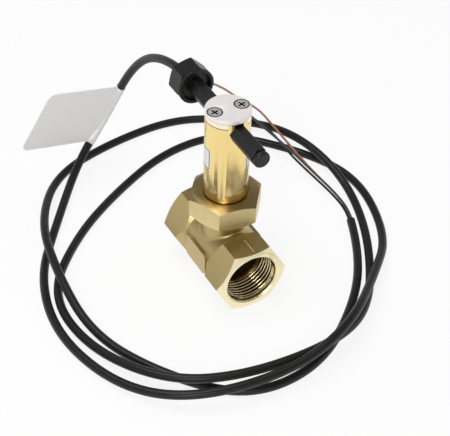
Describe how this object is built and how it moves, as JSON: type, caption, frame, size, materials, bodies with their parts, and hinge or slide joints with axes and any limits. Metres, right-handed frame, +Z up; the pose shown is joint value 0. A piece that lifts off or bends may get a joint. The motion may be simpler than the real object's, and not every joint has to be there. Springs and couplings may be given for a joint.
{
  "type": "paddle flow switch",
  "caption": "Brass tee with a turned head on top, a swinging paddle inside, a black contact rod clamped across the head and a long black cable with free cores.",
  "frame": {"origin": "where the pipe axis crosses the axis of the head, inside the tee", "axes": "+X along the pipe axis out of the outlet, +Z up along the head, +Y across; the tee rests on its bottom flats at z = -0.020"},
  "size_m": [0.2815, 0.2314, 0.1229],
  "materials": {
    "forged_brass": "forged and blasted, faces machined",
    "turned_brass": "turned smooth, bright",
    "plate": "satin nickel plating",
    "screws": "plated steel",
    "black_plastic": "moulded, slightly satin",
    "reed_glass": "clear glass",
    "lead_wire": "tinned wire",
    "resin": "potting resin",
    "seal_rubber": "moulded rubber",
    "gasket": "flat gasket sheet",
    "cable_jacket": "matt PVC jacket",
    "film": "clear film, glossy",
    "core_black": "PVC insulation",
    "core_brown": "PVC insulation",
    "core_grey": "PVC insulation",
    "inner_steel": "stainless sheet and wire",
    "lever_plastic": "moulded natural plastic",
    "magnet": "nickel plated magnet"
  },
  "bodies": {
    "switch": {"tee_body": "forged_brass", "head_gasket": "gasket", "head_housing": "turned_brass", "clamp_saddle": "turned_brass", "clamp_plate": "plate", "clamp_screws": "screws", "bearing_bracket": "inner_steel", "bracket_retaining_ring": "inner_steel", "pivot_pin": "inner_steel", "return_magnet": "magnet"},
    "union_nut": {"union_nut": "forged_brass"},
    "paddle": {"paddle_lever": "lever_plastic", "paddle_vane": "inner_steel", "vane_rivets": "inner_steel", "paddle_magnet": "magnet"},
    "carrier": {"contact_carrier": "black_plastic", "carrier_end_cap": "black_plastic", "reed_contact": "reed_glass", "reed_leads": "lead_wire", "potting": "resin", "gland_seal": "seal_rubber", "cable": "cable_jacket", "cable_flag": "film", "wire_black": "core_black", "wire_brown": "core_brown", "wire_grey": "core_grey"},
    "gland_nut": {"gland_nut": "black_plastic"}
  },
  "joints": [
    {"name": "paddle_swing", "type": "hinge", "parent": "switch", "child": "paddle", "pos_m": [0, 0, 0.05], "axis": [0, -1, 0], "range_deg": [0, 14], "stiffness_Nm_per_rad": 0.004, "springref_deg": -5.73},
    {"name": "contact_slide", "type": "slide", "parent": "switch", "child": "carrier", "axis": [1, 0, 0], "range_m": [-0.022, 0.0235]},
    {"name": "union_nut_turn", "type": "hinge", "parent": "switch", "child": "union_nut", "pos_m": [0, 0, 0.035], "axis": [0, 0, 1], "continuous": true},
    {"name": "gland_nut_turn", "type": "hinge", "parent": "carrier", "child": "gland_nut", "pos_m": [-0.046, 0, 0.0915], "axis": [1, 0, 0], "continuous": true}
  ]
}
